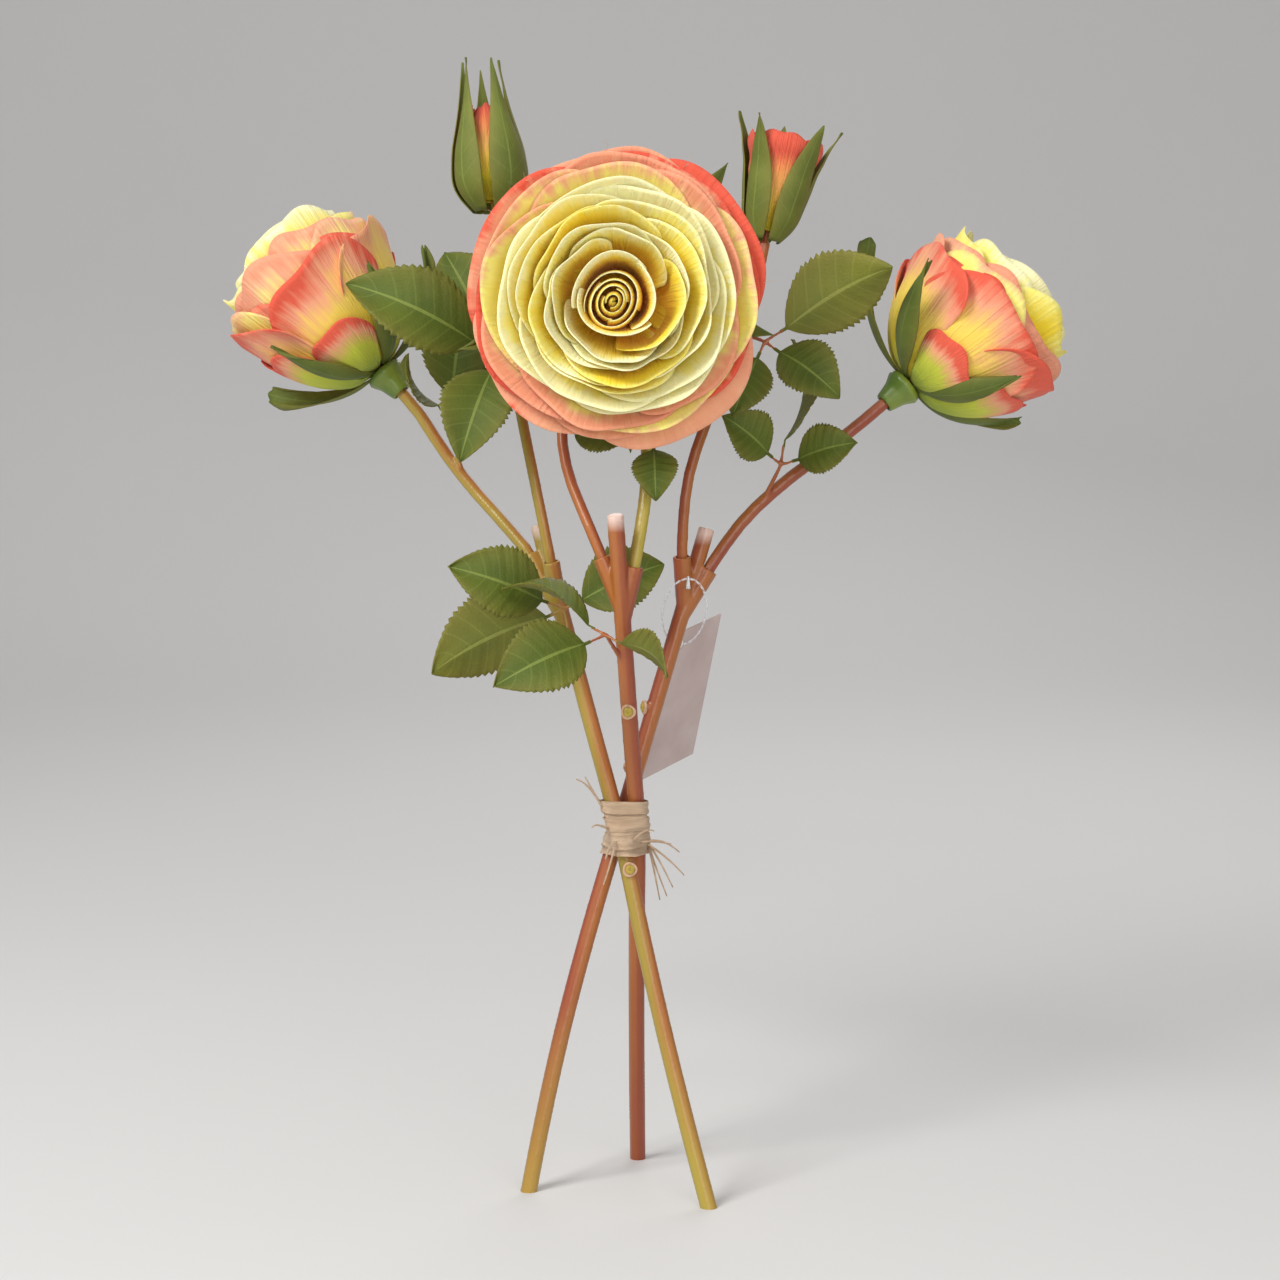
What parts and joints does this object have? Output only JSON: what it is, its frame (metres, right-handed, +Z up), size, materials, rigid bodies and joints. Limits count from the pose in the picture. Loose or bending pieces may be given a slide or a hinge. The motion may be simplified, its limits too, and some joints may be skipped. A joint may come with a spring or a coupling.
{
  "type": "bunch of artificial roses",
  "caption": "Artificial roses on branching plastic stems with buds and leaves, tied with raffia so that the splayed stem ends stand as a tripod.",
  "frame": {"origin": "centre of the bounding box's base, on the ground that the cut stem ends stand on", "axes": "+Z up along the bunch, -Y the way the large open rose faces, +X to the right of someone who looks at that rose"},
  "size_m": [0.3142, 0.1477, 0.4302],
  "materials": {
    "stem": "moulded plastic, satin, two-tone olive yellow and orange brown",
    "leaf": "starched printed fabric, pressed veins, serrated edge",
    "hip": "moulded plastic, satin green",
    "calyx": "starched printed fabric, olive green",
    "petal_outer": "heat-pressed polyester fabric, peach and coral with a yellow base",
    "petal_inner": "heat-pressed polyester fabric, lemon yellow with a cream edge",
    "petal_bud": "heat-pressed polyester fabric, coral red",
    "raffia": "dry raffia",
    "card": "plain uncoated card",
    "loop": "clear nylon"
  },
  "bodies": {
    "root": {"main_stem_left": "stem", "main_stem_middle": "stem", "main_stem_right": "stem", "rose_branch_left": "stem", "rose_branch_middle": "stem", "rose_branch_right": "stem", "bud_branch_left": "stem", "bud_branch_middle": "stem", "bud_branch_right": "stem", "rose_hip_left": "hip", "rose_hip_middle": "hip", "rose_hip_right": "hip", "rose_calyx_left": "calyx", "rose_calyx_middle": "calyx", "rose_calyx_right": "calyx", "petals_left_1": "petal_outer", "petals_left_2": "petal_outer", "petals_left_3": "petal_inner", "petals_left_heart": "petal_inner", "petals_middle_1": "petal_outer", "petals_middle_2": "petal_outer", "petals_middle_3": "petal_inner", "petals_middle_4": "petal_inner", "petals_middle_5": "petal_inner", "petals_middle_heart": "petal_inner", "petals_right_1": "petal_outer", "petals_right_2": "petal_outer", "petals_right_3": "petal_inner", "petals_right_heart": "petal_inner", "bud_calyx_left": "calyx", "bud_calyx_middle": "calyx", "bud_calyx_right": "calyx", "bud_petals_left": "petal_bud", "bud_petals_middle": "petal_bud", "bud_petals_right": "petal_bud", "leaf_left_rose_1": "leaf", "leaf_left_rose_2": "leaf", "leaf_left_rose_3": "leaf", "leaf_left_bud_1": "leaf", "leaf_left_bud_2": "leaf", "leaf_left_bud_3": "leaf", "leaf_left_stem_1": "leaf", "leaf_left_stem_2": "leaf", "leaf_left_stem_3": "leaf", "leaf_middle_stem_1": "leaf", "leaf_middle_stem_2": "leaf", "leaf_middle_stem_3": "leaf", "leaf_middle_rose_1": "leaf", "leaf_middle_rose_2": "leaf", "leaf_middle_rose_3": "leaf", "leaf_right_rose_1": "leaf", "leaf_right_rose_2": "leaf", "leaf_right_rose_3": "leaf", "leaf_right_bud_1": "leaf", "leaf_right_bud_2": "leaf", "leaf_right_bud_3": "leaf", "raffia_tie": "raffia", "swing_tag": "card", "tag_loop": "loop"}
  },
  "joints": []
}
